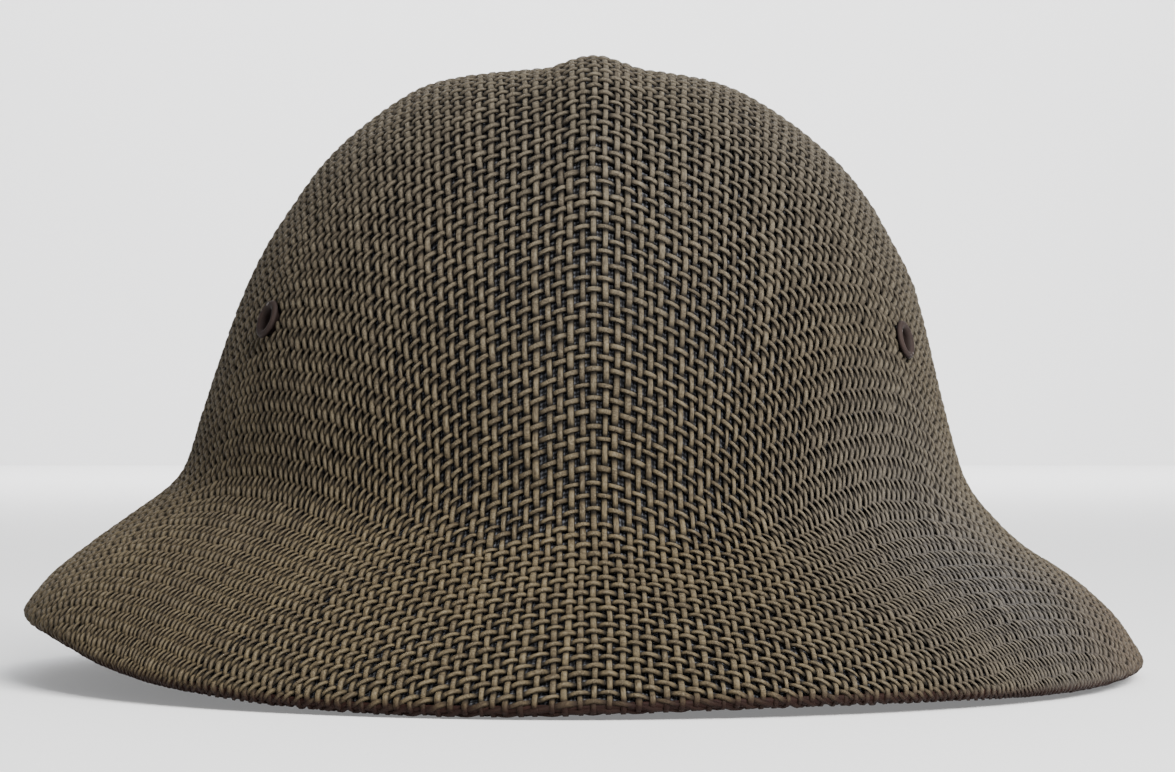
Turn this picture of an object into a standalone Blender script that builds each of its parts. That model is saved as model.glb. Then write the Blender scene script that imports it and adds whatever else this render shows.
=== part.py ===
# Pith helmet of pressed woven fibre cloth, resting on its rim.
# Metres, +Z up, front towards -Y. The origin is on the floor under the middle of the rim.
import math
from math import cos, pi, radians, sin

import bmesh
import bpy
import numpy as np
from mathutils import Vector

# Rim, seen from above
RIM_WIDTH = 0.2516
RIM_LENGTH = 0.318
RIM_LIFT = 0.013

# Crown, measured from the line of its ridge and from its own middle
RIDGE_ASIDE = 0.0022
CROWN_LEFT = 0.0924
CROWN_RIGHT = 0.0842
CROWN_FORWARD = 0.003
CROWN_FRONT = 0.104
CROWN_BACK = 0.104
DOME_TOP = 0.1346

# Height of the corner between crown and brim, and the radius that softens it
CORNER_FRONT = 0.0348
CORNER_BACK = 0.0348
CORNER_LEFT = 0.0445
CORNER_RIGHT = 0.0418
CORNER_ROUND_ENDS = 0.014
CORNER_ROUND_LEFT = 0.006
CORNER_ROUND_RIGHT = 0.010

# Ridge pressed over the crown
RIDGE_HEIGHT = 0.0032
RIDGE_REACH = 0.0135

# Cloths, and the gap that is left between pieces
OUTER_CLOTH = 0.0012
UNDER_CLOTH = 0.0010
GAP = 0.0003

# Turned hem: how far it runs back under the brim, and the half angle of the flat that it rests on
HEM_DEPTH = 0.009
REST_TURN = radians(15)

# Vent eyelets
EYELET_HOLE = 0.0023
EYELET_WALL = 0.0006
EYELET_FLANGE = 0.0043
EYELET_FLANGE_THICK = 0.0008
EYELET_LEFT_TURN = radians(-59)
EYELET_LEFT_HEIGHT = 0.0785
EYELET_RIGHT_TURN = radians(62)
EYELET_RIGHT_HEIGHT = 0.0742

# Faceting
MERIDIANS = 56
RIDGE_CROWDING = 0.25
CORNER_STEPS = 2
FOLD_STEPS = 4
EYELET_SIDES = 16

# Crown sections from the top down, as shares of the crown's height above the corner, of its half widths,
# of its half lengths, and of the ridge's height
CROWN_SECTIONS = (
    {"height": 1.000, "left": 0.000, "right": 0.000, "front": 0.000, "back": 0.000, "ridge": 1.00},
    {"height": 0.990, "left": 0.350, "right": 0.280, "front": 0.360, "back": 0.340, "ridge": 1.00},
    {"height": 0.975, "left": 0.425, "right": 0.365, "front": 0.455, "back": 0.430, "ridge": 1.00},
    {"height": 0.945, "left": 0.470, "right": 0.430, "front": 0.540, "back": 0.510, "ridge": 1.00},
    {"height": 0.900, "left": 0.532, "right": 0.510, "front": 0.617, "back": 0.590, "ridge": 1.00},
    {"height": 0.840, "left": 0.606, "right": 0.596, "front": 0.695, "back": 0.670, "ridge": 0.93},
    {"height": 0.770, "left": 0.672, "right": 0.680, "front": 0.766, "back": 0.742, "ridge": 0.85},
    {"height": 0.680, "left": 0.733, "right": 0.754, "front": 0.830, "back": 0.810, "ridge": 0.75},
    {"height": 0.590, "left": 0.792, "right": 0.806, "front": 0.880, "back": 0.862, "ridge": 0.62},
    {"height": 0.510, "left": 0.833, "right": 0.856, "front": 0.918, "back": 0.902, "ridge": 0.50},
    {"height": 0.400, "left": 0.877, "right": 0.888, "front": 0.953, "back": 0.942, "ridge": 0.30},
    {"height": 0.250, "left": 0.927, "right": 0.926, "front": 0.982, "back": 0.975, "ridge": 0.05},
    {"height": 0.120, "left": 0.968, "right": 0.962, "front": 0.993, "back": 0.990, "ridge": 0.00},
)

# Brim from the corner to the fold, as shares of its reach, and of its drop at the ends and the sides
BRIM_SECTIONS = (
    {"reach": 0.30, "ends": 0.280, "left": 0.260, "right": 0.335},
    {"reach": 0.60, "ends": 0.570, "left": 0.520, "right": 0.520},
    {"reach": 0.85, "ends": 0.825, "left": 0.760, "right": 0.750},
    {"reach": 1.00, "ends": 1.000, "left": 1.000, "right": 1.000},
)

# Lift of the rim off the floor, as shares of RIM_LIFT, by turn from the front towards the right
RIM_LIFTS = (
    {"turn": -180, "lift": 0.00},
    {"turn": -160, "lift": 0.00},
    {"turn": -150, "lift": 0.08},
    {"turn": -135, "lift": 0.34},
    {"turn": -120, "lift": 0.68},
    {"turn": -105, "lift": 0.93},
    {"turn": -90, "lift": 1.00},
    {"turn": -74, "lift": 0.97},
    {"turn": -65, "lift": 0.86},
    {"turn": -59, "lift": 0.71},
    {"turn": -53, "lift": 0.49},
    {"turn": -46, "lift": 0.29},
    {"turn": -40, "lift": 0.20},
    {"turn": -30, "lift": 0.07},
    {"turn": -22, "lift": 0.00},
    {"turn": -8, "lift": 0.00},
    {"turn": 8, "lift": 0.11},
    {"turn": 20, "lift": 0.13},
    {"turn": 35, "lift": 0.12},
    {"turn": 48, "lift": 0.05},
    {"turn": 60, "lift": 0.09},
    {"turn": 74, "lift": 0.14},
    {"turn": 90, "lift": 0.12},
    {"turn": 105, "lift": 0.05},
    {"turn": 118, "lift": 0.00},
    {"turn": 180, "lift": 0.00},
)

UP = Vector((0, 0, 1))
FOLD_RADIUS = (2 * OUTER_CLOTH + UNDER_CLOTH + 2 * GAP) / 2


def column(table, name):
    return [row[name] for row in table]


def side_name(turn):
    return "right" if sin(turn) > 0 else "left"


def end_name(turn):
    return "front" if cos(turn) > 0 else "back"


def round_the_crown(turn, ends, left, right):
    """Value between the one of the ends and that of the side that a turn points to."""
    side = right if sin(turn) > 0 else left
    return ends * cos(turn) ** 2 + side * sin(turn) ** 2


def corner_height(turn):
    """Height of the corner between crown and brim."""
    ends = CORNER_FRONT if cos(turn) > 0 else CORNER_BACK
    return round_the_crown(turn, ends, CORNER_LEFT, CORNER_RIGHT)


def crown_point(turn, height, side, end):
    """Point of a crown section, from its shares of height, half width and half length."""
    half_width = CROWN_RIGHT if sin(turn) > 0 else CROWN_LEFT
    half_length = CROWN_FRONT if cos(turn) > 0 else CROWN_BACK
    low = corner_height(turn)
    return Vector((
        RIDGE_ASIDE + half_width * side * sin(turn),
        -CROWN_FORWARD - half_length * end * cos(turn),
        low + (DOME_TOP - low) * height,
    ))


def wall_point(turn, level):
    """Point of the crown's wall at a level above the floor, between two sections."""
    low = corner_height(turn)
    height = (level - low) / (DOME_TOP - low)
    heights = column(CROWN_SECTIONS, "height")[::-1]
    side = np.interp(height, heights, column(CROWN_SECTIONS, side_name(turn))[::-1])
    end = np.interp(height, heights, column(CROWN_SECTIONS, end_name(turn))[::-1])
    return crown_point(turn, height, side, end)


def rounded_corner(above, corner, below, radius):
    """Points of the arc that softens a corner between two straight runs."""
    to_above = (above - corner).normalized()
    to_below = (below - corner).normalized()
    half_angle = to_above.angle(to_below) / 2
    centre = corner + (to_above + to_below).normalized() * radius / sin(half_angle)
    first = (corner + to_above * radius / math.tan(half_angle) - centre).normalized()
    last = (corner + to_below * radius / math.tan(half_angle) - centre).normalized()
    return [centre + first.slerp(last, step / CORNER_STEPS) * radius for step in range(CORNER_STEPS + 1)]


def rim_direction(turn):
    """Outward direction, level, at right angles to the rim."""
    half_width = RIM_WIDTH / 2 + (RIDGE_ASIDE if sin(turn) < 0 else -RIDGE_ASIDE)
    return Vector((sin(turn) * RIM_LENGTH / 2, -cos(turn) * half_width, 0)).normalized()


def rim_point(turn):
    """Outermost point of the rim, on the floor."""
    half_width = RIM_WIDTH / 2 + (RIDGE_ASIDE if sin(turn) < 0 else -RIDGE_ASIDE)
    return Vector((RIDGE_ASIDE + half_width * sin(turn), -RIM_LENGTH / 2 * cos(turn), 0))


def brim_and_fold(turn, corner):
    """Points of the brim outside the corner, then of the fold round its edge and the hem under it."""
    outward = rim_direction(turn)
    degrees = math.degrees(math.atan2(sin(turn), cos(turn)))
    lift = RIM_LIFT * np.interp(degrees, column(RIM_LIFTS, "turn"), column(RIM_LIFTS, "lift"))
    drops = [round_the_crown(turn, row["ends"], row["left"], row["right"]) for row in BRIM_SECTIONS]
    reaches = column(BRIM_SECTIONS, "reach")
    run = (rim_point(turn) - corner).dot(outward)
    fall = corner.z - lift - 2 * FOLD_RADIUS
    slope = math.atan(fall / run * (drops[-1] - drops[-2]) / (reaches[-1] - reaches[-2]))
    centre = rim_point(turn) - outward * FOLD_RADIUS + UP * (lift + FOLD_RADIUS * cos(REST_TURN))

    def on_fold(angle):
        return centre + (outward * sin(angle) + UP * cos(angle)) * FOLD_RADIUS

    start = on_fold(slope)
    brim = []
    for reach, drop in zip(reaches, drops):
        point = corner.lerp(start, reach)
        point.z = corner.z + (start.z - corner.z) * drop
        brim.append(point)
    rest_start = pi - REST_TURN
    angles = [slope + (rest_start - slope) * step / FOLD_STEPS for step in range(1, FOLD_STEPS + 1)]
    angles += [pi + REST_TURN, pi + slope]
    fold = [on_fold(angle) for angle in angles]
    under = fold[-1] + (UP * sin(slope) - outward * cos(slope)) * HEM_DEPTH
    return brim, fold + [under]


def meridian(turn):
    """Points from under the crown's top to the fold, and those of the fold and hem."""
    crown = [
        crown_point(turn, row["height"], row[side_name(turn)], row[end_name(turn)])
        for row in CROWN_SECTIONS[1:]
    ]
    corner = crown_point(turn, 0, 1, 1)
    brim, fold = brim_and_fold(turn, corner)
    radius = round_the_crown(turn, CORNER_ROUND_ENDS, CORNER_ROUND_LEFT, CORNER_ROUND_RIGHT)
    return crown + rounded_corner(crown[-1], corner, brim[0], radius) + brim, fold


def ridge_rise(point, share):
    """How far the ridge stands out of the dome at a point."""
    off = abs(point.x - RIDGE_ASIDE) / RIDGE_REACH
    return RIDGE_HEIGHT * share * (1 + cos(pi * off)) / 2 if off < 1 else 0


def cloth_surface(name, with_hem):
    """Outer face of the pressed cloth as an open surface, lofted from meridian to meridian."""
    steps = [2 * pi * i / MERIDIANS for i in range(MERIDIANS)]
    meridians = [meridian(step - RIDGE_CROWDING * sin(2 * step)) for step in steps]
    rings = [list(ring) for ring in zip(*(upper + fold if with_hem else upper for upper, fold in meridians))]
    ridge_shares = column(CROWN_SECTIONS, "ridge")[1:]

    shape = bmesh.new()
    top = shape.verts.new(crown_point(0, 1, 0, 0))
    rows = [[shape.verts.new(point) for point in ring] for ring in rings]
    for i in range(MERIDIANS):
        after = (i + 1) % MERIDIANS
        shape.faces.new((top, rows[0][i], rows[0][after]))
        for upper, lower in zip(rows, rows[1:]):
            shape.faces.new((upper[i], lower[i], lower[after], upper[after]))
    shape.normal_update()
    rises = [(top, RIDGE_HEIGHT)]
    for row, share in zip(rows, ridge_shares):
        rises += [(vert, ridge_rise(vert.co, share)) for vert in row]
    moves = [(vert, vert.normal * rise) for vert, rise in rises]
    for vert, move in moves:
        vert.co += move
    mesh = bpy.data.meshes.new(name)
    shape.to_mesh(mesh)
    shape.free()
    return mesh


def material(name, color, roughness, metallic=0.0):
    made = bpy.data.materials.new(name)
    made.use_nodes = True
    shader = made.node_tree.nodes["Principled BSDF"]
    shader.inputs["Base Color"].default_value = (*color, 1)
    shader.inputs["Roughness"].default_value = roughness
    shader.inputs["Metallic"].default_value = metallic
    return made


def cloth_layer(name, collection, surface, depth, thickness, look):
    """Wall of one cloth, its outer face a depth under the pressed surface."""
    layer = bpy.data.objects.new(name, surface)
    collection.objects.link(layer)
    wall = layer.modifiers.new("wall", "SOLIDIFY")
    wall.thickness = thickness
    wall.offset = -1 - 2 * depth / thickness
    wall.use_even_offset = True
    wall.use_quality_normals = True
    surface.materials.append(look)
    surface.shade_smooth()
    surface.set_sharp_from_angle(angle=radians(40))
    return layer


def eyelet_seat(turn, level):
    """Point on the outer cloth where an eyelet sits, and the outward direction there."""
    point = wall_point(turn, level)
    along = wall_point(turn + radians(2), level) - wall_point(turn - radians(2), level)
    upward = wall_point(turn, level + EYELET_FLANGE) - wall_point(turn, level - EYELET_FLANGE)
    return point, along.cross(upward).normalized()


def cut_hole(name, collection, seat, outward, layers):
    """Round hole for an eyelet through both cloths."""
    radius = EYELET_HOLE + EYELET_WALL + GAP
    depth = 4 * (OUTER_CLOTH + UNDER_CLOTH)
    bpy.ops.mesh.primitive_cylinder_add(vertices=EYELET_SIDES, radius=radius, depth=2 * depth, location=seat)
    cutter = bpy.context.object
    cutter.name = name
    cutter.rotation_euler = outward.to_track_quat("Z", "Y").to_euler()
    cutter.hide_render = True
    cutter.display_type = "WIRE"
    for holder in list(cutter.users_collection):
        holder.objects.unlink(cutter)
    collection.objects.link(cutter)
    for layer in layers:
        hole = layer.modifiers.new(name, "BOOLEAN")
        hole.operation = "DIFFERENCE"
        hole.object = cutter


def eyelet(name, collection, seat, outward, look):
    """Turned metal ring: a barrel through the wall with a flange outside and one inside."""
    wall = OUTER_CLOTH + GAP + UNDER_CLOTH
    barrel = EYELET_HOLE + EYELET_WALL
    inner_bow = EYELET_FLANGE ** 2 / (2 * CROWN_RIGHT)
    outer_seat = GAP
    outer_face = outer_seat + EYELET_FLANGE_THICK
    inner_seat = -wall - GAP - 2 * inner_bow
    inner_face = inner_seat - EYELET_FLANGE_THICK
    lip = EYELET_FLANGE_THICK / 2
    outline = (
        (EYELET_HOLE, outer_face - lip),
        (EYELET_HOLE + lip, outer_face),
        (EYELET_FLANGE - lip, outer_face),
        (EYELET_FLANGE, outer_face - lip),
        (EYELET_FLANGE, outer_seat),
        (barrel, outer_seat),
        (barrel, inner_seat),
        (EYELET_FLANGE, inner_seat),
        (EYELET_FLANGE, inner_face + lip),
        (EYELET_FLANGE - lip, inner_face),
        (EYELET_HOLE, inner_face),
    )
    profile = bpy.data.meshes.new(name)
    count = len(outline)
    profile.from_pydata([(r, 0, z) for r, z in outline], [(i, (i + 1) % count) for i in range(count)], [])
    profile.materials.append(look)
    ring = bpy.data.objects.new(name, profile)
    collection.objects.link(ring)
    ring.location = seat
    ring.rotation_euler = outward.to_track_quat("Z", "Y").to_euler()
    turned = ring.modifiers.new("turned", "SCREW")
    turned.steps = EYELET_SIDES
    turned.render_steps = EYELET_SIDES
    turned.use_merge_vertices = True
    turned.merge_threshold = 0.00001
    turned.use_smooth_shade = True
    return ring


for old in list(bpy.data.objects):
    bpy.data.objects.remove(old)

parts = bpy.data.collections.new("pith_helmet")
cutters = bpy.data.collections.new("cutters")
bpy.context.scene.collection.children.link(parts)
bpy.context.scene.collection.children.link(cutters)

outer_look = material("woven_fibre", (0.150, 0.125, 0.085), 0.80)
under_look = material("under_cloth", (0.045, 0.045, 0.050), 0.90)
eyelet_look = material("eyelet_brown", (0.060, 0.032, 0.020), 0.45, metallic=0.3)

outer_shell = cloth_layer(
    "outer_shell", parts, cloth_surface("outer_shell", with_hem=True), 0, OUTER_CLOTH, outer_look)
under_layer = cloth_layer(
    "under_layer", parts, cloth_surface("under_layer", with_hem=False), OUTER_CLOTH + GAP, UNDER_CLOTH,
    under_look)

EYELETS = (
    ("eyelet_left", EYELET_LEFT_TURN, EYELET_LEFT_HEIGHT),
    ("eyelet_right", EYELET_RIGHT_TURN, EYELET_RIGHT_HEIGHT),
)
for eyelet_name, eyelet_turn, eyelet_level in EYELETS:
    eyelet_place, eyelet_outward = eyelet_seat(eyelet_turn, eyelet_level)
    cut_hole(eyelet_name + "_hole", cutters, eyelet_place, eyelet_outward, (outer_shell, under_layer))
    eyelet(eyelet_name, parts, eyelet_place, eyelet_outward, eyelet_look)
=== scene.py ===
import math

import bmesh
import bpy
import numpy as np
from mathutils import Matrix, Vector
from mathutils.bvhtree import BVHTree
from mathutils.kdtree import KDTree


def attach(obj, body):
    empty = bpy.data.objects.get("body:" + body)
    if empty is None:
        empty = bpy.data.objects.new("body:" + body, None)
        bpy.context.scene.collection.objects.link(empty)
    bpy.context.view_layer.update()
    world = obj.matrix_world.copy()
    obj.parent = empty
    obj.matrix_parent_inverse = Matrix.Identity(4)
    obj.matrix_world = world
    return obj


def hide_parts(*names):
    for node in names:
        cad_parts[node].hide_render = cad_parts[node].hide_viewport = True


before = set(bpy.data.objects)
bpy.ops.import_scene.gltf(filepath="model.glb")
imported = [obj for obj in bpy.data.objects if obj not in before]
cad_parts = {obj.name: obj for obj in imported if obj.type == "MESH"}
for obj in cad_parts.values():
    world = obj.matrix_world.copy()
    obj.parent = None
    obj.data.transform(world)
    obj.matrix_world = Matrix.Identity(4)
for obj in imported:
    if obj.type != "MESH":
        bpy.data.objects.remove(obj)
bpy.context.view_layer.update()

# The pressed form. Both cloths of the helmet are pressed over one form: a dome with a ridge from front to
# back, a soft corner and a sloping brim whose edge is turned under. It is read off the frame's outer
# shell, along lines from the top out over the brim and round its fold, closer at the front and back.
FORM_LINES = 224
FORM_RINGS = 300
LINE_CROWDING = 0.25
LINE_STEP = 0.0006
PROBE_DEPTH = 3 * LINE_STEP
NEXT_FACE = 0.9 * LINE_STEP
HEM_RINGS = 24
HEM_RUN = 0.0122
UNDERSIDE = -0.5
FACETS_EASED = 4
LINES_EASED = 60
FOLD_KEPT = 6
FOLD_FADE = 14
UP = Vector((0, 0, 1))

shell_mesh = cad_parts["outer_shell"].data
shell_faces = BVHTree.FromPolygons(
    [vert.co for vert in shell_mesh.vertices], [tuple(face.vertices) for face in shell_mesh.polygons]
)
crown_top = max((vert.co.copy() for vert in shell_mesh.vertices), key=lambda place: place.z)


def line_over_form(turn):
    """Reach from the top and height above the floor, in small steps from the top down to the hem."""
    outward = Vector((math.sin(turn), -math.cos(turn), 0))
    place, heading, line = crown_top.copy(), outward, [(0.0, crown_top.z)]
    while True:
        face_out = UP * heading.dot(outward) - outward * heading.z
        ahead = place + heading * LINE_STEP
        hit = shell_faces.ray_cast(ahead + face_out * LINE_STEP, -face_out, PROBE_DEPTH)[0]
        if hit is None and face_out.z < UNDERSIDE:
            return np.array(line)
        if hit is not None and (hit - ahead).length < NEXT_FACE:
            ahead = hit
        heading = (ahead - place).normalized()
        place = ahead
        line.append(((place - crown_top).dot(outward), place.z))


line_steps = np.arange(FORM_LINES + 1) * 2 * math.pi / FORM_LINES
line_turns = line_steps - LINE_CROWDING * np.sin(2 * line_steps)
runs, reaches, heights = [], [], []
for turn in line_turns[:-1]:
    reach, height = line_over_form(turn).T
    run = np.concatenate([[0], np.cumsum(np.hypot(np.diff(reach), np.diff(height)))])
    rim_run = run[reach.argmax()]
    wanted = np.concatenate([
        np.linspace(0, rim_run, FORM_RINGS + 1), rim_run + np.linspace(0, HEM_RUN, HEM_RINGS + 1)[1:]
    ])
    runs.append(wanted)
    reaches.append(np.interp(wanted, run, reach))
    heights.append(np.interp(wanted, run, height))
runs, reaches, heights = np.array(runs), np.array(reaches), np.array(heights)


def ease_round(values, passes):
    """Takes the flats of the frame's facets out of values that go round the form."""
    for _ in range(passes):
        values = (np.roll(values, 1, 0) + 2 * values + np.roll(values, -1, 0)) / 4
    return values


def ease_down(values, across_top, passes):
    """The same along the lines, up to just before the fold."""
    share = np.clip((FORM_RINGS - FOLD_KEPT - np.arange(values.shape[1])) / FOLD_FADE, 0, 1)[None]
    for _ in range(passes):
        over_top = across_top * np.roll(values, FORM_LINES // 2, 0)[:, 1:2]
        padded = np.concatenate([over_top, values, values[:, -1:]], 1)
        values = values + share * ((padded[:, :-2] + 2 * values + padded[:, 2:]) / 4 - values)
    return values


runs = ease_round(runs, FACETS_EASED)
reaches = ease_down(ease_round(reaches, FACETS_EASED), -1, LINES_EASED)
heights = ease_down(ease_round(heights, FACETS_EASED), 1, LINES_EASED)

# The ridge is sharp over the crown and fades out on its way down to the brim.
RIDGE_FADES = (0.38, 0.62)
RIDGE_SOFTENED = 70
RIDGE_NARROWNESS = 8
ridge_fade = np.interp(np.arange(reaches.shape[1]) / FORM_RINGS, RIDGE_FADES, (0, 1))
ridge_fade = ridge_fade * np.cos(line_turns[:-1, None]) ** RIDGE_NARROWNESS
reaches = reaches + ridge_fade * (ease_round(reaches, RIDGE_SOFTENED) - reaches)
heights = heights + ridge_fade * (ease_round(heights, RIDGE_SOFTENED) - heights)

# The cloth is draped over the same form without its ridge, and with its brim going straight on, because
# the ridge and the hem are pressed in afterwards.
FOLD_START = FORM_RINGS - 5
BRIM_RINGS = 4
RIDGE_OUT = 200
fold_run = runs[:, FOLD_START:] - runs[:, FOLD_START, None]
brim_run = runs[:, FOLD_START] - runs[:, FOLD_START - BRIM_RINGS]
drape_reaches, drape_heights = ease_round(reaches, RIDGE_OUT), ease_round(heights, RIDGE_OUT)
for flat in (drape_reaches, drape_heights):
    brim_slope = (flat[:, FOLD_START] - flat[:, FOLD_START - BRIM_RINGS]) / brim_run
    flat[:, FOLD_START:] = flat[:, FOLD_START, None] + brim_slope[:, None] * fold_run


def on_form(places, reaches=reaches, heights=heights):
    """Points of the form for places on its round map, whose middle is the top and whose rim is at 1."""
    turn = np.arctan2(places[..., 0], -places[..., 1]) % (2 * math.pi)
    line = np.interp(turn, line_turns, np.arange(FORM_LINES + 1))
    ring = np.hypot(places[..., 0], places[..., 1]) * FORM_RINGS
    left = np.floor(line).astype(int) % FORM_LINES
    inner = np.minimum(ring.astype(int), reaches.shape[1] - 2)
    aside, below = line - np.floor(line), ring - inner
    right = (left + 1) % FORM_LINES
    reach, height = [
        (grid[left, inner] * (1 - below) + grid[left, inner + 1] * below) * (1 - aside)
        + (grid[right, inner] * (1 - below) + grid[right, inner + 1] * below) * aside
        for grid in (reaches, heights)
    ]
    return np.stack([crown_top.x + reach * np.sin(turn), crown_top.y - reach * np.cos(turn), height], -1)


def out_of_form(places, step=0.004):
    """Outward directions of the form at places on its map."""
    east = on_form(places + [step, 0]) - on_form(places - [step, 0])
    north = on_form(places + [0, step]) - on_form(places - [0, step])
    out = np.cross(east, north)
    return out / np.linalg.norm(out, axis=-1, keepdims=True)


# The vent holes. One is punched through both cloths on each side of the crown, where the frame has its
# two plain eyelets. The cords of the weave end at the hole, under the lip of the eyelet.
VENT_REACH = 0.0032
VENT_DEPTH = 0.012
VENT_SIDES = 40


def vent_seat(node):
    """Middle of a plain eyelet, its axis, along which it is thinnest, and how far out its face is."""
    verts = np.array([vert.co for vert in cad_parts[node].data.vertices])
    middle = verts.mean(0)
    axis = np.linalg.svd(np.unique(verts.round(6), axis=0) - middle, full_matrices=False)[2][2]
    axis *= np.sign(axis[0] * middle[0])
    return middle, axis, ((verts - middle) @ axis).max()


vents = {node: vent_seat(node) for node in ("eyelet_left", "eyelet_right")}


def in_vents(points):
    """Which of some points of the cloth are in the holes."""
    found = np.zeros(points.shape[:-1], bool)
    for middle, axis, _ in vents.values():
        away = points - middle
        height = away @ axis
        aside = np.linalg.norm(away - height[..., None] * axis, axis=-1)
        found |= (aside < VENT_REACH) & (np.abs(height) < VENT_DEPTH / 2)
    return found


# The draped weave. The cloth can't stretch, so as it goes down over the dome its two sets of strands
# turn towards each other, most of all at the four quarters. Each crossing keeps its distance along both
# strands from those before it. The cords are closer at the corner and spread towards the rim.
WARP_GAP = 0.0025
WEFT_GAP = 0.0028
SPREAD_AT = (0.0, 0.45, 0.68, 0.78, 0.88, 1.0)
SPREAD = (1.03, 0.99, 0.94, 0.95, 1.05, 1.15)
WARPS_ASIDE = 84
WEFTS_ALONG = 92
STRAY = 0.07
STRAY_EASED = 10
LEAST_LEAN = 0.55
MAP_EDGE = 1 + HEM_RINGS / FORM_RINGS
FITTING_ROUNDS = 5
FITTING_STEP = 1e-4
FITTING_REACH = 0.01
STEADIER = 1e-7


def on_drape_form(places):
    """Points of the form without its ridge and fold."""
    return on_form(places, drape_reaches, drape_heights)


def gap_between(before, after, gap):
    """The gap from one crossing to the next, wider or closer where it lies round the form."""
    radius = np.linalg.norm(after, axis=-1)
    heading = after - before
    along = (heading * after).sum(-1) / np.linalg.norm(heading, axis=-1) / radius
    return gap * (1 + (np.interp(radius, SPREAD_AT, SPREAD) - 1) * (1 - along ** 2))


def first_strand(line, gap, count):
    """Distances on the map from the top to the crossings of the strand that lies over the top."""
    steps = np.hypot(np.diff(drape_reaches[line]), np.diff(drape_heights[line]))
    run = np.concatenate([[0], np.cumsum(steps)])
    wanted = gap * np.arange(count + 1)
    past = np.maximum(wanted - run[-1], 0) / steps[-1]
    return (np.interp(wanted, run, np.arange(len(run))) + past) / FORM_RINGS


def drape_quarter(right, back):
    """Crossings of one quarter of the cloth, as places on the form's map."""
    net = np.zeros((WARPS_ASIDE + 1, WEFTS_ALONG + 1, 2))
    quarter = FORM_LINES // 4
    net[:, 0, 0] = right * first_strand(quarter if right > 0 else 3 * quarter, WARP_GAP, WARPS_ASIDE)
    net[0, :, 1] = back * first_strand(2 * quarter if back > 0 else 0, WEFT_GAP, WEFTS_ALONG)
    for diagonal in range(2, WARPS_ASIDE + WEFTS_ALONG + 1):
        i = np.arange(max(1, diagonal - WEFTS_ALONG), min(WARPS_ASIDE, diagonal - 1) + 1)
        j = diagonal - i
        beside, before = net[i - 1, j], net[i, j - 1]
        place = beside + before - net[i - 1, j - 1]
        gaps = np.stack([gap_between(beside, place, WARP_GAP), gap_between(before, place, WEFT_GAP)], -1)
        knots = np.stack([on_drape_form(beside), on_drape_form(before)], 1)
        for _ in range(FITTING_ROUNDS):
            point = on_drape_form(place)
            span = point[:, None] - knots
            length = np.linalg.norm(span, axis=-1)
            steps = np.eye(2) * FITTING_STEP
            moves = [(on_drape_form(place + step) - point) / FITTING_STEP for step in steps]
            slopes = np.stack([(span * move[:, None]).sum(-1) / length for move in moves], -1)
            slopes += np.eye(2) * STEADIER
            change = np.linalg.solve(slopes, (length - gaps)[..., None])[..., 0]
            place = place - np.clip(change, -FITTING_REACH, FITTING_REACH)
        net[i, j] = place
    return net


net = np.zeros((2 * WARPS_ASIDE + 1, 2 * WEFTS_ALONG + 1, 2))
for right in (-1, 1):
    for back in (-1, 1):
        warps = WARPS_ASIDE + right * np.arange(WARPS_ASIDE + 1)
        wefts = WEFTS_ALONG + back * np.arange(WEFTS_ALONG + 1)
        net[np.ix_(warps, wefts)] = drape_quarter(right, back)


def wander(count, length, reach):
    """Soft random changes along each of a number of strands."""
    stray = np.random.default_rng(count).standard_normal((count, length))
    for _ in range(STRAY_EASED):
        stray = (np.roll(stray, 1, 1) + 2 * stray + np.roll(stray, -1, 1)) / 4
    return (reach * stray / stray.std())[..., None]


warp_count, weft_count = net.shape[:2]
aside, ahead = np.gradient(net, axis=0), np.gradient(net, axis=1)
net = net + wander(warp_count, weft_count, STRAY) * aside
net = net + wander(weft_count, warp_count, STRAY).transpose(1, 0, 2) * ahead

# Where the strands lean towards each other they are squeezed narrower. The sine of the angle between the
# two sets says how much, and goes with each crossing.
crossings = on_form(net)
across_run, along_run = np.gradient(crossings, axis=0), np.gradient(crossings, axis=1)
lean = np.linalg.norm(np.cross(across_run, along_run), axis=-1)
lean /= np.linalg.norm(across_run, axis=-1) * np.linalg.norm(along_run, axis=-1)
leaning_net = np.concatenate([net, np.clip(lean, LEAST_LEAN, 1)[..., None]], -1)

# The outer cloth's cords. Each is a strand of stiff, flattened plant fibre, woven one over and one under,
# glazed dull olive brown. The cords run on round the fold of the rim and end in the hem under the brim,
# where they are painted dark red-brown as shade under the fold. Each set of cords is made in three runs
# of neighbours.
WARP_WIDTH = 0.0014
WEFT_WIDTH = 0.00116
CORD_THICKNESS = 0.00064
FACE_SHARE = 0.64
SQUEEZE = 1.1
CROSSING_LIFT = 0.0003
CLOTH_MIDDLE = 0.0006
RISES = np.array([1.0, 0.6, -0.6])
PLACES_PER_GAP = len(RISES)
SHORTEST_CORD = 5
HEM_SHADES = 3.6
HEM_FLATTENING = 0.5
HEM_SIDES = 1.4
TONE_RANGE = (0.2, 0.8)
TONE_WANDER = 0.2
GIRTH_RANGE = (0.87, 1.13)
GIRTH_WANDER = 0.08
MIDDLE_WARPS = 18
MIDDLE_WEFTS = 20

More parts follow.
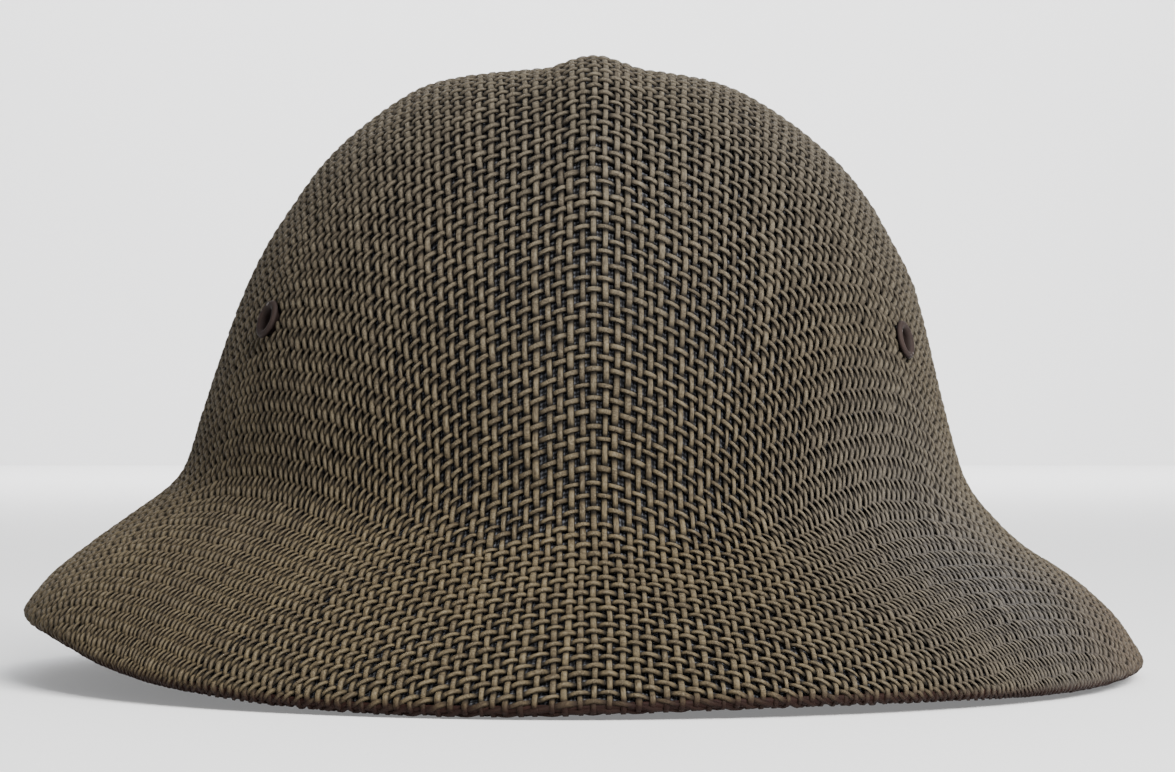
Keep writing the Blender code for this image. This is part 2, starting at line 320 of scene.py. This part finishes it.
DARK_OLIVE, LIGHT_OLIVE = (0.044, 0.032, 0.018, 1), (0.108, 0.083, 0.045, 1)
DARK_FADE_AND_SHEEN, LIGHT_FADE_AND_SHEEN = (0.034, 0.030, 0.025, 1), (0.088, 0.079, 0.067, 1)
DUSTY_OLIVE = (0.056, 0.048, 0.036, 1)
SIDE_SHADE_OLIVE = (0.044, 0.034, 0.021, 1)
CROWN_SHADE = (0.020, 0.016, 0.011, 1)
COOL_SHEEN_GREY = (0.071, 0.070, 0.073, 1)
COOL_SHEEN_PLACE = (0.086, -0.078, 0.022)
COOL_SHEEN_REACH = 0.055
WARM_EDGE = (0.055, 0.038, 0.027, 1)
RUBBED_HIGHLIGHT_FIBRE = (0.165, 0.139, 0.098, 1)
DEEP_SHADE = (0.005, 0.004, 0.003, 1)
HEM_SHADE_BROWN = (0.010, 0.0035, 0.0025, 1)


class Wire:
    """A socket in a tree of nodes. Sums written with it add the nodes that work them out."""

    def __init__(self, tree, socket=None):
        self.tree, self.socket = tree, socket

    def node(self, kind, settings=None, inputs=None, output=0):
        """A node of a type, with its settings and the values or links of its sockets."""
        node = self.tree.nodes.new(kind)
        for name, value in (settings or {}).items():
            setattr(node, name, value)
        for name, value in (inputs or {}).items():
            if isinstance(value, Wire):
                self.tree.links.new(value.socket, node.inputs[name])
            else:
                node.inputs[name].default_value = value
        return Wire(self.tree, node.outputs[output]) if len(node.outputs) else node

    def maths(self, operation, *values):
        return self.node("ShaderNodeMath", {"operation": operation}, dict(enumerate(values)))

    def __add__(self, other):
        return self.maths("ADD", self, other)

    def __sub__(self, other):
        return self.maths("SUBTRACT", self, other)

    def __rsub__(self, other):
        return self.maths("SUBTRACT", other, self)

    def __mul__(self, other):
        return self.maths("MULTIPLY", self, other)

    def __truediv__(self, other):
        return self.maths("DIVIDE", self, other)

    def __pow__(self, other):
        return self.maths("POWER", self, other)

    __radd__ = __add__
    __rmul__ = __mul__

    def held(self):
        """The value kept between 0 and 1."""
        return self.maths("MINIMUM", self.maths("MAXIMUM", self, 0.0), 1.0)

    def sine(self):
        return self.maths("SINE", self)

    def mix(self, share, first, second):
        """Colour between two others."""
        return self.node("ShaderNodeMix", {"data_type": "RGBA"}, {0: share, 6: first, 7: second}, 2)

    def attribute(self, name):
        return self.node("ShaderNodeAttribute", {"attribute_name": name}, output="Fac")

    def mottle(self, place, size):
        """Cloudy values from 0 to 1, with patches of about a size in metres."""
        return self.node("ShaderNodeTexNoise", {}, {"Vector": place, "Scale": 1 / size, "Detail": 3.0})


def new_finish(name):
    """An empty material, with the place on the object and a function that closes it."""
    material = bpy.data.materials.new(name)
    material.use_nodes = True
    material.node_tree.nodes.clear()
    wire = Wire(material.node_tree)

    def close(**inputs):
        named = {name.replace("_", " "): value for name, value in inputs.items()}
        shader = wire.node("ShaderNodeBsdfPrincipled", {}, named)
        wire.node("ShaderNodeOutputMaterial", {}, {"Surface": shader})
        return material

    return wire, wire.node("ShaderNodeTexCoord", output="Object"), close


wire, place, close = new_finish("glazed fibre cord")
over, tone, edge = wire.attribute("over"), wire.attribute("tone"), wire.attribute("edge")
across, along, face = wire.attribute("across"), wire.attribute("along"), wire.attribute("face")
fibre_place = wire.node("ShaderNodeCombineXYZ", {}, {0: across * 4, 1: along * 300, 2: tone * 40})
fibres = wire.node("ShaderNodeTexNoise", {}, {"Vector": fibre_place, "Scale": 1.6, "Detail": 4.0})
patches = wire.mottle(place, 0.05)
specks = wire.mottle(place, 0.002)
shade = (tone * 0.7 + fibres * 2.6 + specks * 0.6 - 1.5).held()
cord_colour = wire.mix(shade, DARK_OLIVE, LIGHT_OLIVE)
east = wire.node("ShaderNodeSeparateXYZ", {}, {0: place}, 0)
height = wire.node("ShaderNodeSeparateXYZ", {}, {0: place}, 2)
# Greyer towards the top, where the cords are sun-faded, and towards the right, where the grey is a
# painted cool sheen.
fade_and_sheen = ((height - 0.03) * 12).held() * 0.6 + ((east - 0.02) * 10).held() * 0.4
cord_colour = wire.mix(fade_and_sheen, cord_colour, wire.mix(shade, DARK_FADE_AND_SHEEN, LIGHT_FADE_AND_SHEEN))
cord_colour = wire.mix((patches * 2 - 0.6).held() * 0.3, cord_colour, DUSTY_OLIVE)
# Painted shade: the cords darken towards both sides of the helmet, away from the front light.
cord_colour = wire.mix((east * east * 60).held() * 0.4, cord_colour, SIDE_SHADE_OLIVE)
# Painted shade: the crown above the brim is darkened, more and more from the middle towards the right.
crown_shade = ((height - 0.035) * 40).held() * (east * 14 + 0.05).held() * 0.3
cord_colour = wire.mix(crown_shade, cord_colour, CROWN_SHADE)
# Painted reflection: a patch of cool grey sheen on the right of the brim.
cool_sheen_distance = wire.node("ShaderNodeVectorMath", {"operation": "DISTANCE"}, {0: place, 1: COOL_SHEEN_PLACE}, 1)
cord_colour = wire.mix((1.1 - cool_sheen_distance / COOL_SHEEN_REACH).held() * 0.62, cord_colour, COOL_SHEEN_GREY)
cord_colour = wire.mix(((east - 0.098) * 50).held() * 0.5, cord_colour, WARM_EDGE)
# Lighter, smoother fibre streaks on the tops of the crossings: partly wear, partly a painted highlight.
rubbed_and_highlight = ((over - 0.35) * 1.4).held() * (fibres * 3.2 - 1.2).held() * 0.5
cord_colour = wire.mix(rubbed_and_highlight, cord_colour, RUBBED_HIGHLIGHT_FIBRE)
sunk = (1 - (1 - ((0.2 - over) * 1.2).held()) * (0.17 + 0.83 * face ** 1.1)) * 0.9
cord_colour = wire.mix(sunk, cord_colour, DEEP_SHADE)
# Painted shade: the cords turn dark red-brown round the fold and under the hem, starting later at the
# sides.
cord_colour = wire.mix(edge * 0.97, cord_colour, HEM_SHADE_BROWN)
cord_rough = 0.62 + fibres * 0.25 - rubbed_and_highlight * 0.3
cord_bump = wire.node("ShaderNodeBump", {}, {
    "Strength": 0.7, "Distance": 0.0003, "Height": fibres + specks * 0.5
})
cord_finish = close(
    Base_Color=cord_colour, Roughness=cord_rough, Specular_IOR_Level=0.12, Normal=cord_bump
)


def cord_tree():
    """Turns lines through the crossings into flat cords that go over and under."""
    tree = bpy.data.node_groups.new("woven cords", "GeometryNodeTree")
    sockets = {}
    for name, kind in (
        ("Lines", "Geometry"), ("Cord Width", "Float"), ("Face Share", "Float"),
        ("Cord Thickness", "Float"), ("Crossing Lift", "Float"), ("Finish", "Material"),
    ):
        socket = tree.interface.new_socket(name, in_out="INPUT", socket_type="NodeSocket" + kind)
        sockets[name] = socket.identifier
    tree.interface.new_socket("Cords", in_out="OUTPUT", socket_type="NodeSocketGeometry")
    wire = Wire(tree)
    start = wire.node("NodeGroupInput").socket.node
    given = {name: Wire(tree, start.outputs[name]) for name in sockets}
    out = wire.node("GeometryNodeInputNamedAttribute", {"data_type": "FLOAT_VECTOR"}, {"Name": "out"})
    over = wire.node("GeometryNodeInputNamedAttribute", {"data_type": "FLOAT"}, {"Name": "over"})
    lift = wire.node("ShaderNodeVectorMath", {"operation": "SCALE"}, {
        0: out, "Scale": over * given["Crossing Lift"]
    })
    lines = wire.node("GeometryNodeMeshToCurve", {}, {"Mesh": given["Lines"]})
    lines = wire.node("GeometryNodeSetPosition", {}, {"Geometry": lines, "Offset": lift})
    lines = wire.node("GeometryNodeSetCurveNormal", {"mode": "FREE"}, {"Curve": lines, "Normal": out})
    length = wire.node("GeometryNodeSplineParameter", output="Length")
    lines = wire.node("GeometryNodeStoreNamedAttribute", {"data_type": "FLOAT", "domain": "POINT"}, {
        "Geometry": lines, "Name": "along", "Value": length
    })
    section = wire.node("GeometryNodeCurvePrimitiveQuadrilateral", {"mode": "TRAPEZOID"}, {
        "Height": given["Cord Thickness"], "Bottom Width": given["Cord Width"],
        "Top Width": given["Cord Width"] * given["Face Share"], "Offset": 0.0
    })
    share = wire.node("GeometryNodeSplineParameter", output="Factor")
    section = wire.node("GeometryNodeStoreNamedAttribute", {"data_type": "FLOAT", "domain": "POINT"}, {
        "Geometry": section, "Name": "across", "Value": share
    })
    place = wire.node("GeometryNodeInputPosition")
    height = wire.node("ShaderNodeSeparateXYZ", {}, {0: place}, 1)
    section = wire.node("GeometryNodeStoreNamedAttribute", {"data_type": "FLOAT", "domain": "POINT"}, {
        "Geometry": section, "Name": "face", "Value": height / given["Cord Thickness"] + 0.5
    })
    girth = wire.node("GeometryNodeInputNamedAttribute", {"data_type": "FLOAT"}, {"Name": "girth"})
    section = wire.node("GeometryNodeTransform", {}, {
        "Geometry": section, "Rotation": (0, 0, -math.pi / 2)
    })
    cords = wire.node("GeometryNodeCurveToMesh", {}, {
        "Curve": lines, "Profile Curve": section, "Scale": girth, "Fill Caps": True
    })
    cords = wire.node("GeometryNodeSetShadeSmooth", {}, {"Geometry": cords})
    cords = wire.node("GeometryNodeRealizeInstances", {}, {"Geometry": cords})
    cords = wire.node("GeometryNodeSetMaterial", {}, {"Geometry": cords, "Material": given["Finish"]})
    wire.node("NodeGroupOutput", {}, {"Cords": cords})
    return tree, sockets


def between_crossings(strands):
    """Three places for each crossing of a strand: at it, and at each third of the way to the next."""
    before = np.concatenate([2 * strands[:, :1] - strands[:, 1:2], strands[:, :-2]], 1)
    start, end = strands[:, :-1], strands[:, 1:]
    after = np.concatenate([strands[:, 2:], 2 * strands[:, -1:] - strands[:, -2:-1]], 1)
    parts = []
    for t in np.arange(PLACES_PER_GAP) / PLACES_PER_GAP:
        parts.append(
            start + 0.5 * t * (end - before + t * (
                2 * before - 5 * start + 4 * end - after + t * (3 * (start - end) + after - before)
            ))
        )
    count, gaps = start.shape[:2]
    return np.stack(parts, 2).reshape(count, gaps * PLACES_PER_GAP, -1)


def cords(name, strands, first, width):
    """Makes neighbouring strands of the net into one mesh of cords. first numbers the first of them."""
    threads = between_crossings(strands)
    count, steps = threads.shape[:2]
    gap, part = np.divmod(np.arange(steps), PLACES_PER_GAP)
    rises = RISES[part] * (-1.0) ** (np.arange(count)[:, None] + first + gap)
    dice = np.random.default_rng(first + len(name))
    tones = dice.uniform(*TONE_RANGE, (count, 1, 1)) + wander(count, steps, TONE_WANDER)
    girths = dice.uniform(*GIRTH_RANGE, (count, 1, 1)) + wander(count + 1, steps, GIRTH_WANDER)[1:]
    girths *= threads[..., 2:] ** SQUEEZE
    threads = np.concatenate([threads[..., :2], rises[..., None], tones, girths], -1)
    radii = np.linalg.norm(threads[..., :2], axis=-1)
    kept = (radii <= MAP_EDGE) & ~in_vents(on_form(threads[..., :2]))
    threads[..., 2] *= 1 - HEM_FLATTENING * np.clip((radii - 1) * FORM_RINGS / HEM_SHADES + 1, 0, 1)
    lines, links, total = [], [], 0
    for thread, radius, keep in zip(threads, radii, kept):
        inside = np.flatnonzero(keep)
        for run in np.split(inside, np.flatnonzero(np.diff(inside) > 1) + 1):
            if len(run) < SHORTEST_CORD:
                continue
            line = thread[run]
            for end, past, at in ((run[-1], run[-1] + 1, len(run)), (run[0], run[0] - 1, 0)):
                if 0 <= past < steps and radius[past] > MAP_EDGE:
                    share = (MAP_EDGE - radius[end]) / (radius[past] - radius[end])
                    line = np.insert(line, at, thread[end] + share * (thread[past] - thread[end]), 0)
            lines.append(line)
            links += [(total + k, total + k + 1) for k in range(len(line) - 1)]
            total += len(line)
    lines = np.concatenate(lines)
    places = lines[:, :2]
    out = out_of_form(places)
    points = on_form(places) - out * CLOTH_MIDDLE
    mesh = bpy.data.meshes.new(name)
    mesh.from_pydata(points.tolist(), links, [])
    radius = np.linalg.norm(places, axis=-1)
    sideways = (places[:, 0] / radius) ** 2
    edge = np.clip((radius - 1) * FORM_RINGS / HEM_SHADES + 1 - HEM_SIDES * sideways, 0, 1)
    for label, values in zip(("over", "tone", "girth", "edge"), (*lines[:, 2:].T, edge)):
        values = np.ascontiguousarray(values)
        mesh.attributes.new(label, "FLOAT", "POINT").data.foreach_set("value", values)
    mesh.attributes.new("out", "FLOAT_VECTOR", "POINT").data.foreach_set("vector", out.ravel())
    piece = bpy.data.objects.new(name, mesh)
    bpy.context.scene.collection.objects.link(piece)
    weaving = piece.modifiers.new("woven cords", "NODES")
    weaving.node_group = cord_nodes
    for label, value in (
        ("Cord Width", width), ("Face Share", FACE_SHARE), ("Cord Thickness", CORD_THICKNESS),
        ("Crossing Lift", CROSSING_LIFT), ("Finish", cord_finish),
    ):
        weaving[cord_sockets[label]] = value
    woven = piece.evaluated_get(bpy.context.evaluated_depsgraph_get())
    piece.data = bpy.data.meshes.new_from_object(woven)
    piece.modifiers.clear()
    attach(piece, "root")
    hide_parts("outer_shell")


cord_nodes, cord_sockets = cord_tree()
warp_cuts = (0, WARPS_ASIDE - MIDDLE_WARPS, WARPS_ASIDE + MIDDLE_WARPS + 1, warp_count)
weft_cuts = (0, WEFTS_ALONG - MIDDLE_WEFTS, WEFTS_ALONG + MIDDLE_WEFTS + 1, weft_count)
for name, start, end in zip(("left", "middle", "right"), warp_cuts, warp_cuts[1:]):
    cords("warps_" + name, leaning_net[start:end], start, WARP_WIDTH)
for name, start, end in zip(("front", "top", "back"), weft_cuts, weft_cuts[1:]):
    cords("wefts_" + name, leaning_net[:, start:end].transpose(1, 0, 2), start + 1, WEFT_WIDTH)

# The skin of the hem. Along the fold of the rim and under it the gaps of the weave are closed by a thin
# skin whose near-black red-brown is painted shade under the fold, with a little dust on it.
HEM_SKIN_DEPTH = 0.0007
HEM_SKIN_THICKNESS = 0.0003
HEM_SKIN_LINES = 168
HEM_SKIN_RINGS = 15
HEM_SKIN_START = -1.5
HEM_SKIN_END = HEM_RINGS - 0.5
HEM_SKIN_RADII = 1 + np.linspace(HEM_SKIN_START, HEM_SKIN_END, HEM_SKIN_RINGS) / FORM_RINGS
DARK_HEM_SHADE, PALE_HEM_SHADE = (0.006, 0.002, 0.0015, 1), (0.018, 0.007, 0.005, 1)
HEM_SKIN_DUST = (0.04, 0.03, 0.022, 1)

wire, place, close = new_finish("hem skin in painted shade")
hem_skin_mottle = wire.mottle(place, 0.003)
dust = wire.mottle(place, 0.0007)
hem_shade_colour = wire.mix(hem_skin_mottle, DARK_HEM_SHADE, PALE_HEM_SHADE)
hem_shade_colour = wire.mix((dust * 2 - 1).held() * 0.25, hem_shade_colour, HEM_SKIN_DUST)
hem_skin_bump = wire.node("ShaderNodeBump", {}, {
    "Strength": 0.4, "Distance": 0.0003, "Height": hem_skin_mottle + dust * 0.3
})
hem_shade_finish = close(
    Base_Color=hem_shade_colour, Roughness=0.55 + dust * 0.3, Specular_IOR_Level=0.1, Normal=hem_skin_bump
)


def pressed_sheet(lines, radii, depth):
    """A sheet at a depth under the face of the form: its places on the map, its points and its faces."""
    turns = np.interp(np.arange(lines) * FORM_LINES / lines, np.arange(FORM_LINES + 1), line_turns)
    places = np.stack([np.outer(np.sin(turns), radii), -np.outer(np.cos(turns), radii)], -1)
    places = places.reshape(-1, 2)
    faces = []
    for line in range(lines):
        here, there = line * len(radii), (line + 1) % lines * len(radii)
        for ring in range(len(radii) - 1):
            faces.append((here + ring, here + ring + 1, there + ring + 1, there + ring))
    return places, on_form(places) - out_of_form(places) * depth, faces


def thicken(name, mesh, thickness, finish):
    """Makes a sheet into a wall, inwards from its face."""
    mesh.shade_smooth()
    mesh.materials.append(finish)
    piece = bpy.data.objects.new(name, mesh)
    bpy.context.scene.collection.objects.link(piece)
    wall = piece.modifiers.new("thickness", "SOLIDIFY")
    wall.thickness = thickness
    wall.offset = -1
    return piece


places, points, faces = pressed_sheet(HEM_SKIN_LINES, HEM_SKIN_RADII, HEM_SKIN_DEPTH)
hem_skin_mesh = bpy.data.meshes.new("hem_skin")
hem_skin_mesh.from_pydata(points.tolist(), [], faces)
hem_skin = thicken("hem_skin", hem_skin_mesh, HEM_SKIN_THICKNESS, hem_shade_finish)
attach(hem_skin, "root")
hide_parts("outer_shell")

# The under layer. A finer cloth of dark blue-grey yarn lies right under the outer one and is seen through
# its gaps, and from below it lines the whole crown and brim. Its edge is held inside the turned hem.
UNDER_DEPTH = 0.0015
UNDER_THICKNESS = 0.001
UNDER_LINES = 140
UNDER_RINGS = 80
UNDER_EDGE = 1 - 3 / FORM_RINGS
YARNS_PER_GAP = 3
DEEP_BLUE_GREY, YARN_BLUE_GREY = (0.002, 0.002, 0.003, 1), (0.062, 0.064, 0.072, 1)

wire, place, close = new_finish("dark under cloth")
weave_place = wire.node("ShaderNodeUVMap", {"uv_map": "weave"})
warp_number = wire.node("ShaderNodeSeparateXYZ", {}, {0: weave_place}, 0)
weft_number = wire.node("ShaderNodeSeparateXYZ", {}, {0: weave_place}, 1)
yarn_across = (warp_number * (math.pi * YARNS_PER_GAP)).sine()
yarn_along = (weft_number * (math.pi * YARNS_PER_GAP)).sine()
crossing = (yarn_across * yarn_along + 1) / 2
yarn_height = (1 - yarn_across ** 2) * crossing + (1 - yarn_along ** 2) * (1 - crossing)
fuzz = wire.mottle(place, 0.0009)
worn = wire.mottle(place, 0.03)
under_shade = ((yarn_height - 0.5) * 2.0 + fuzz * 1.2 + worn * 0.4 - 0.75).held()
under_colour = wire.mix(under_shade, DEEP_BLUE_GREY, YARN_BLUE_GREY)
under_bump = wire.node("ShaderNodeBump", {}, {
    "Strength": 0.6, "Distance": 0.0003, "Height": yarn_height + fuzz * 0.4
})
under_finish = close(
    Base_Color=under_colour, Roughness=0.85 - fuzz * 0.1, Specular_IOR_Level=0.2, Normal=under_bump
)

# The map of the finer weave follows the strands of the outer cloth, so both lean the same way.
knots = KDTree(net.shape[0] * net.shape[1])
for number, (x, y) in enumerate(net.reshape(-1, 2)):
    knots.insert((x, y, 0), number)
knots.balance()
under_radii = np.linspace(0, UNDER_EDGE, UNDER_RINGS + 1)[1:]
under_places, under_points, under_faces = pressed_sheet(UNDER_LINES, under_radii, UNDER_DEPTH)
top_point = len(under_places)
under_places = np.concatenate([under_places, [[0, 0]]])
under_points = np.concatenate([under_points, [tuple(crown_top - UP * UNDER_DEPTH)]])
for line in range(UNDER_LINES):
    under_faces.append((top_point, line * UNDER_RINGS, (line + 1) % UNDER_LINES * UNDER_RINGS))
aside, ahead = np.gradient(net, axis=0), np.gradient(net, axis=1)
under_weave = []
for x, y in under_places:
    number = knots.find((x, y, 0))[1]
    warp, weft = divmod(number, net.shape[1])
    turn_to_net = np.stack([aside[warp, weft], ahead[warp, weft]], -1)
    under_weave.append(np.array([warp, weft]) + np.linalg.solve(turn_to_net, (x, y) - net[warp, weft]))
under_mesh = bpy.data.meshes.new("under_cloth")
under_mesh.from_pydata(under_points.tolist(), [], under_faces)
weave_map = under_mesh.uv_layers.new(name="weave")
weave_places = [under_weave[loop.vertex_index] for loop in under_mesh.loops]
weave_map.data.foreach_set("uv", np.concatenate(weave_places))
under_cloth = thicken("under_cloth", under_mesh, UNDER_THICKNESS, under_finish)

# The vent holes are punched through it.
punches = []
for middle, axis, _ in vents.values():
    punch_mesh = bpy.data.meshes.new("punch")
    punch_place = Matrix.Translation(middle) @ Vector(axis).to_track_quat("Z", "Y").to_matrix().to_4x4()
    shape = bmesh.new()
    bmesh.ops.create_cone(
        shape, cap_ends=True, segments=VENT_SIDES, radius1=VENT_REACH, radius2=VENT_REACH,
        depth=VENT_DEPTH, matrix=punch_place,
    )
    shape.to_mesh(punch_mesh)
    shape.free()
    punches.append(bpy.data.objects.new("punch", punch_mesh))
    bpy.context.scene.collection.objects.link(punches[-1])
    under_cloth.modifiers.new("vent", "BOOLEAN").object = punches[-1]
punched = under_cloth.evaluated_get(bpy.context.evaluated_depsgraph_get())
under_cloth.data = bpy.data.meshes.new_from_object(punched)
under_cloth.modifiers.clear()
for punch in punches:
    bpy.data.objects.remove(punch)
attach(under_cloth, "root")
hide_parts("under_layer")

# The vent eyelets. One on each side of the crown, turned from thin metal, enamelled dark brown, pushed
# through both cloths and rolled over on both sides. The enamel is rubbed through to the metal on the lip.
EYELET_SECTION = (
    (0.0023, -0.0036), (0.0023, -0.0002), (0.0025, 0.0004), (0.0030, 0.0008), (0.0036, 0.0009),
    (0.0041, 0.0006), (0.0043, 0.0001), (0.0041, -0.0001), (0.0034, -0.0001), (0.0030, -0.0004),
    (0.0029, -0.0030), (0.0032, -0.0032), (0.0041, -0.0031), (0.0043, -0.0034), (0.0040, -0.0038),
    (0.0034, -0.0040), (0.0026, -0.0039),
)
EYELET_TURNS = 48
LIP_HEIGHT = 0.0009
LIP_WEAR = 0.0006
DARK_ENAMEL, PALE_ENAMEL = (0.008, 0.005, 0.004, 1), (0.034, 0.022, 0.019, 1)
HOLE_SHADE = (0.006, 0.0025, 0.002, 1)
BARE_METAL = (0.62, 0.58, 0.56, 1)

wire, place, close = new_finish("brown enamel")
near_lip = wire.attribute("lip")
chips = wire.mottle(place, 0.0012)
grime = wire.mottle(place, 0.004)
bare = (near_lip * 1.5 + chips * 4 - 3.9).held() * 0.8
enamel = wire.mix(grime, DARK_ENAMEL, PALE_ENAMEL)
# Painted shade: all of the eyelet but the top of its lip is darkened, the hole with it.
enamel = wire.mix((1 - near_lip * 2).held() * 0.75, enamel, HOLE_SHADE)
enamel = wire.mix(bare, enamel, BARE_METAL)
eyelet_bump = wire.node("ShaderNodeBump", {}, {"Strength": 0.2, "Distance": 0.0002, "Height": chips})
eyelet_finish = close(
    Base_Color=enamel, Roughness=0.6 + grime * 0.3, Metallic=bare, Specular_IOR_Level=0.15,
    Normal=eyelet_bump,
)


def eyelet(node):
    """Turned eyelet in the place of the frame's plain one."""
    middle, axis, lip = vents[node]
    side = np.cross(axis, (0, 0, 1))
    side /= np.linalg.norm(side)
    over = np.cross(side, axis)
    points, lips, faces = [], [], []
    for turn in np.arange(EYELET_TURNS) * 2 * math.pi / EYELET_TURNS:
        for reach, height in EYELET_SECTION:
            outward = side * math.cos(turn) + over * math.sin(turn)
            points.append(middle + axis * (lip - LIP_HEIGHT + height) + outward * reach)
            lips.append(max(0, 1 - abs(height - LIP_HEIGHT) / LIP_WEAR))
    count = len(EYELET_SECTION)
    for turn in range(EYELET_TURNS):
        here, there = turn * count, (turn + 1) % EYELET_TURNS * count
        for step in range(count):
            after = (step + 1) % count
            faces.append((here + step, there + step, there + after, here + after))
    mesh = bpy.data.meshes.new(node + "_turned")
    mesh.from_pydata([tuple(point) for point in points], [], faces)
    mesh.attributes.new("lip", "FLOAT", "POINT").data.foreach_set("value", lips)
    mesh.shade_smooth()
    mesh.materials.append(eyelet_finish)
    piece = bpy.data.objects.new(node + "_turned", mesh)
    bpy.context.scene.collection.objects.link(piece)
    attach(piece, "root")
    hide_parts(node)


eyelet("eyelet_left")
eyelet("eyelet_right")

# The floor and the light. The helmet stands on a pale studio floor that meets a pale wall far behind it,
# under large soft lamps. The camera looks from the front, a little above the brim.
FLOOR_SIDE = 8
FLOOR_FRONT = -6
WALL_BEHIND = 4.4
WALL_HEIGHT = 6
FLOOR_GREY, FLOOR_PALE = (0.74, 0.74, 0.745, 1), (0.78, 0.78, 0.785, 1)
WHITE = (1.0, 1.0, 1.0)
WARM_WHITE = (1.0, 0.99, 0.965)
SKY_WHITE = (0.9, 0.95, 1.0)
COOL_WHITE = (0.78, 0.89, 1.0)
STUDIO_AIR = (0.97, 0.98, 1.0, 1)
AIR_STRENGTH = 0.2

wire, place, close = new_finish("pale studio floor")
floor_tone = wire.mottle(place, 0.8)
floor_colour = wire.mix(floor_tone, FLOOR_GREY, FLOOR_PALE)
floor_finish = close(
    Base_Color=floor_colour, Roughness=0.9, Emission_Color=floor_colour, Emission_Strength=0.3
)
floor_mesh = bpy.data.meshes.new("floor")
floor_mesh.from_pydata([
    (-FLOOR_SIDE, FLOOR_FRONT, 0), (FLOOR_SIDE, FLOOR_FRONT, 0),
    (FLOOR_SIDE, WALL_BEHIND, 0), (-FLOOR_SIDE, WALL_BEHIND, 0),
    (FLOOR_SIDE, WALL_BEHIND, WALL_HEIGHT), (-FLOOR_SIDE, WALL_BEHIND, WALL_HEIGHT),
], [], [(0, 1, 2, 3), (3, 2, 4, 5)])
floor_mesh.materials.append(floor_finish)
floor = bpy.data.objects.new("floor", floor_mesh)
bpy.context.scene.collection.objects.link(floor)


def lamp(name, place, target, width, power, tint):
    """A square soft lamp, its width in metres and its power in watts."""
    light = bpy.data.lights.new(name, "AREA")
    light.size, light.energy, light.color = width, power, tint
    holder = bpy.data.objects.new(name, light)
    holder.location = place
    holder.rotation_euler = (Vector(target) - Vector(place)).to_track_quat("-Z", "Y").to_euler()
    bpy.context.scene.collection.objects.link(holder)


lamp("front_lamp", (0.95, -1.35, 1.3), (0, 0, 0.05), 1.3, 136, WARM_WHITE)
lamp("top_lamp", (0.2, 0.1, 1.8), (0, 0, 0), 1.4, 12, SKY_WHITE)
lamp("side_lamp", (1.7, 0.4, 0.9), (0, 0, 0.08), 0.9, 3, COOL_WHITE)
lamp("wall_lamp", (0, 2.9, 2.4), (0, WALL_BEHIND, 0.4), 2.0, 200, WHITE)
world = bpy.data.worlds.new("studio")
world.use_nodes = True
world.node_tree.nodes["Background"].inputs["Color"].default_value = STUDIO_AIR
world.node_tree.nodes["Background"].inputs["Strength"].default_value = AIR_STRENGTH
bpy.context.scene.world = world

# The camera's focal length, and the height of its horizon under the middle, are in pixels of its picture.
SENSOR_WIDTH = 36
PICTURE_WIDTH = 1175
FOCAL_PIXELS = 4180
HORIZON_PIXELS = 35
CAMERA_PLACE = (0.0009, -0.95, 0.0568)
view = bpy.data.cameras.new("camera")
view.lens = FOCAL_PIXELS / PICTURE_WIDTH * SENSOR_WIDTH
view.sensor_width = SENSOR_WIDTH
view.clip_start = 0.05
camera = bpy.data.objects.new("camera", view)
camera.location = CAMERA_PLACE
camera.rotation_euler = (math.pi / 2 + math.atan(HORIZON_PIXELS / FOCAL_PIXELS), 0, 0)
bpy.context.scene.collection.objects.link(camera)
bpy.context.scene.camera = camera
